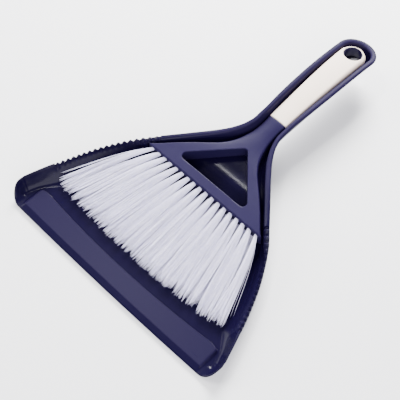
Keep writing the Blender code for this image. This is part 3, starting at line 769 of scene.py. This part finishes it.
def filament_points(row, x, root_z, tip_z):
    """Centre lines of one tuft's filaments, as (filament, station, xyz)."""
    count = FILAMENTS[row]
    order = np.arange(count)
    radius = np.sqrt((order + .5) / count)
    angle = order * GOLDEN_ANGLE
    a, b = radius * np.cos(angle), radius * np.sin(angle)

    # Near their tips filaments gather in a few loose bunches of unequal length.
    bunches = rng.uniform(-1, 1, (BUNCHES, 2))
    nearest = np.argmin((a[:, None] - bunches[:, 0]) ** 2 + (b[:, None] - bunches[:, 1]) ** 2, 1)
    apart = np.hypot(a - bunches[nearest, 0], b - bunches[nearest, 1])
    reach = REACH[row] - OUTER_SHORT * apart - rng.exponential(BUNCH_UNEVEN, BUNCHES)[nearest]
    reach -= rng.exponential(FILAMENT_UNEVEN, count)
    side = x / (PITCH * (TOP_TUFTS - 1) / 2)
    spread = TIP_SPREAD * (LEFT_SPREAD if x < 0 else 1 - RIGHT_SQUEEZE * side)
    cell = PITCH * spread
    # The end tufts don't widen outwards.
    if abs(side) > .99:
        a = np.where(a * side > 0, a * END_TUFT_SQUEEZE, a)

    t = np.clip(STATIONS, 0, 1)[None, :] * reach[:, None]
    centre, leave = tuft_line(x, root_z, tip_z, t, spread)
    centre = centre + leave * np.clip(STATIONS, -1, 0)[None, :, None] * ROOT_DEPTH
    ahead, _ = tuft_line(x, root_z, tip_z, t + .01, spread)
    along = ahead - tuft_line(x, root_z, tip_z, t, spread)[0]
    along /= np.linalg.norm(along, axis=-1, keepdims=True)
    across = np.cross(along, (0, 0, 1))
    across /= np.linalg.norm(across, axis=-1, keepdims=True)
    up = np.cross(across, along)

    open_up = np.clip(t, 0, 1) ** OPENING
    at_tip = open_up ** TIP_POWER
    pull = GATHER * open_up ** 2 + GATHER_AT_TIP * at_tip
    a_line = a[:, None] * (1 - pull) + bunches[nearest, 0][:, None] * pull
    half_width = ROOT_R + (TIP_HALF_WIDTH * cell - ROOT_R) * open_up
    half_height = ROOT_R + (TIP_HALF_HEIGHT[row] - ROOT_R) * open_up
    stray = rng.normal(0, WANDER, (count, 1)) * np.clip(t, 0, 1) ** 2 * (1 - .5 * at_tip)
    lift = rng.normal(0, FILAMENT_LIFT, (count, 1)) + rng.normal(0, BUNCH_LIFT, (BUNCHES, 1))[nearest]
    lift = lift * np.clip(t, 0, 1)
    points = (centre + across * (a_line * half_width + stray)[..., None]
              + up * (b[:, None] * half_height + lift)[..., None])
    points[..., 2] = np.maximum(points[..., 2], WALL + FILAMENT_R + FILAMENT_CLEARANCE)
    return points


def stray_points(x, splay, tip):
    """The centre line of one filament that has bent out of its tuft, as (station, xyz)."""
    side = 1 if x > 0 else -1
    out, arrive = radians(splay * side), radians(26 * side)
    root = np.array((x + ROOT_R * .8 * side, HEAD_FRONT, TOP_ROOT_Z + .6))
    tip = np.array(tip)
    a = root + BEND * np.array((sin(out), -cos(out), -.05))
    b = tip - BEND * np.array((sin(arrive), -cos(arrive), -.08))
    t = np.linspace(0, 1, len(STATIONS))[:, None]
    s = 1 - t
    return s ** 3 * root + 3 * s * s * t * a + 3 * s * t * t * b + t ** 3 * tip


def tubes_along(lines, radius, sides=4):
    """One thin closed tube along each line, tapering at its tip."""
    count, stations = lines.shape[:2]
    along = np.gradient(lines, axis=1)
    along /= np.linalg.norm(along, axis=-1, keepdims=True)
    across = np.cross(along, (0, 0, 1))
    across /= np.linalg.norm(across, axis=-1, keepdims=True)
    up = np.cross(across, along)
    taper = np.ones(stations)
    taper[-2:] = TIP_TAPER
    turn = np.arange(sides) * 2 * pi / sides + pi / 4
    ring = (across[:, :, None] * np.cos(turn)[:, None] + up[:, :, None] * np.sin(turn)[:, None])
    points = lines[:, :, None] + ring * radius * taper[None, :, None, None]
    base = np.arange(count)[:, None, None] * stations * sides + np.arange(stations - 1)[:, None] * sides
    j, k = np.arange(sides), (np.arange(sides) + 1) % sides
    quads = np.stack((base + j, base + k, base + k + sides, base + j + sides), -1).reshape(-1, 4)
    starts = np.arange(count)[:, None] * stations * sides + j[::-1]
    ends = np.arange(count)[:, None] * stations * sides + (stations - 1) * sides + j
    faces = np.concatenate((quads, starts, ends)).tolist()
    return points.reshape(-1, 3), faces


def make_filaments(look):
    made = []
    for row, number, x, root_z, tip_z in tuft_rows():
        lines = filament_points(row, x, root_z, tip_z)
        strays = [stray_points(x, splay, tip) for splay, *tip in STRAYS.get((row, number), [])]
        points, faces = tubes_along(np.concatenate([lines] + [line[None] for line in strays]), FILAMENT_R)
        tuft = new_object(f"filaments_{row}_{number:02d}", points, faces, look)
        made.append((tuft, f"tuft_{row}_{number:02d}"))
    return made


# ---------------------------------------------------------------- stage

CAMERA_TARGET = (-4.0, 120.7, 0.0)
CAMERA_DISTANCE = 0.9932
CAMERA_AZIMUTH, CAMERA_ELEVATION = 45.09, 58.11
CAMERA_LENS, CAMERA_SENSOR = 99.0, 36
FLOOR_HALF = 4.0


def make_camera():
    data = bpy.data.cameras.new("camera")
    data.lens = CAMERA_LENS
    data.sensor_width = CAMERA_SENSOR
    camera = bpy.data.objects.new("camera", data)
    bpy.context.scene.collection.objects.link(camera)
    a, e = radians(CAMERA_AZIMUTH), radians(CAMERA_ELEVATION)
    ahead = Vector((-sin(a) * cos(e), cos(a) * cos(e), -sin(e)))
    camera.location = Vector(to_metres(CAMERA_TARGET)) - ahead * CAMERA_DISTANCE
    camera.rotation_mode = "QUATERNION"
    camera.rotation_quaternion = ahead.to_track_quat("-Z", "Y")
    bpy.context.scene.camera = camera


def area_light(name, place, size, power, colour=(1, 1, 1)):
    """A square studio light that looks at the middle of the set."""
    data = bpy.data.lights.new(name, "AREA")
    data.shape = "RECTANGLE"
    data.size = data.size_y = size
    data.energy = power
    data.color = colour
    light = bpy.data.objects.new(name, data)
    bpy.context.scene.collection.objects.link(light)
    light.location = place
    light.rotation_mode = "QUATERNION"
    light.rotation_quaternion = (-Vector(place)).to_track_quat("-Z", "Y")


def make_stage():
    world = bpy.data.worlds.new("studio")
    bpy.context.scene.world = world
    world.use_nodes = True
    sky = world.node_tree.nodes["Background"]
    sky.inputs["Color"].default_value = (.96, .97, 1, 1)
    sky.inputs["Strength"].default_value = .36
    area_light("key_back", (-.62, .98, .85), .65, 92)
    area_light("fill_left", (-1.15, -.45, .65), 1.1, 26)
    area_light("fill_right", (.95, -.75, .85), 1.4, 44, (.95, .94, 1))
    area_light("glint", (-.42, -.04, 1.1), .10, 4.5)
    make_floor()


def make_floor():
    floor_look = new_material("pale_floor", (.93, .93, .94), .6)
    roughen(floor_look, 3, 2, .56, .64)
    mesh = bpy.data.meshes.new("floor")
    corners = [(x * FLOOR_HALF, y * FLOOR_HALF, 0) for x, y in ((-1, -1), (1, -1), (1, 1), (-1, 1))]
    mesh.from_pydata(corners, [], [(0, 1, 2, 3)])
    mesh.materials.append(floor_look)
    floor = bpy.data.objects.new("floor", mesh)
    bpy.context.scene.collection.objects.link(floor)


# ---------------------------------------------------------------- assembly

def main():
    make_camera()
    make_stage()
    pan_plastic, brush_plastic, soft_grip, nylon, steel = make_materials()

    pan = make_pan(pan_plastic)
    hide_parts("dustpan")
    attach(pan, "pan")

    block = make_brush_block(brush_plastic)
    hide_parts("brush_body")
    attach(block, "brush")

    grip = make_grip(soft_grip)
    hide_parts("grip")
    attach(grip, "brush")

    for tuft, node in make_filaments(nylon):
        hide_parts(node)
        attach(tuft, "brush")

    for name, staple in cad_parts.items():
        if name.startswith("staple"):
            staple.material_slots[0].material = steel


main()
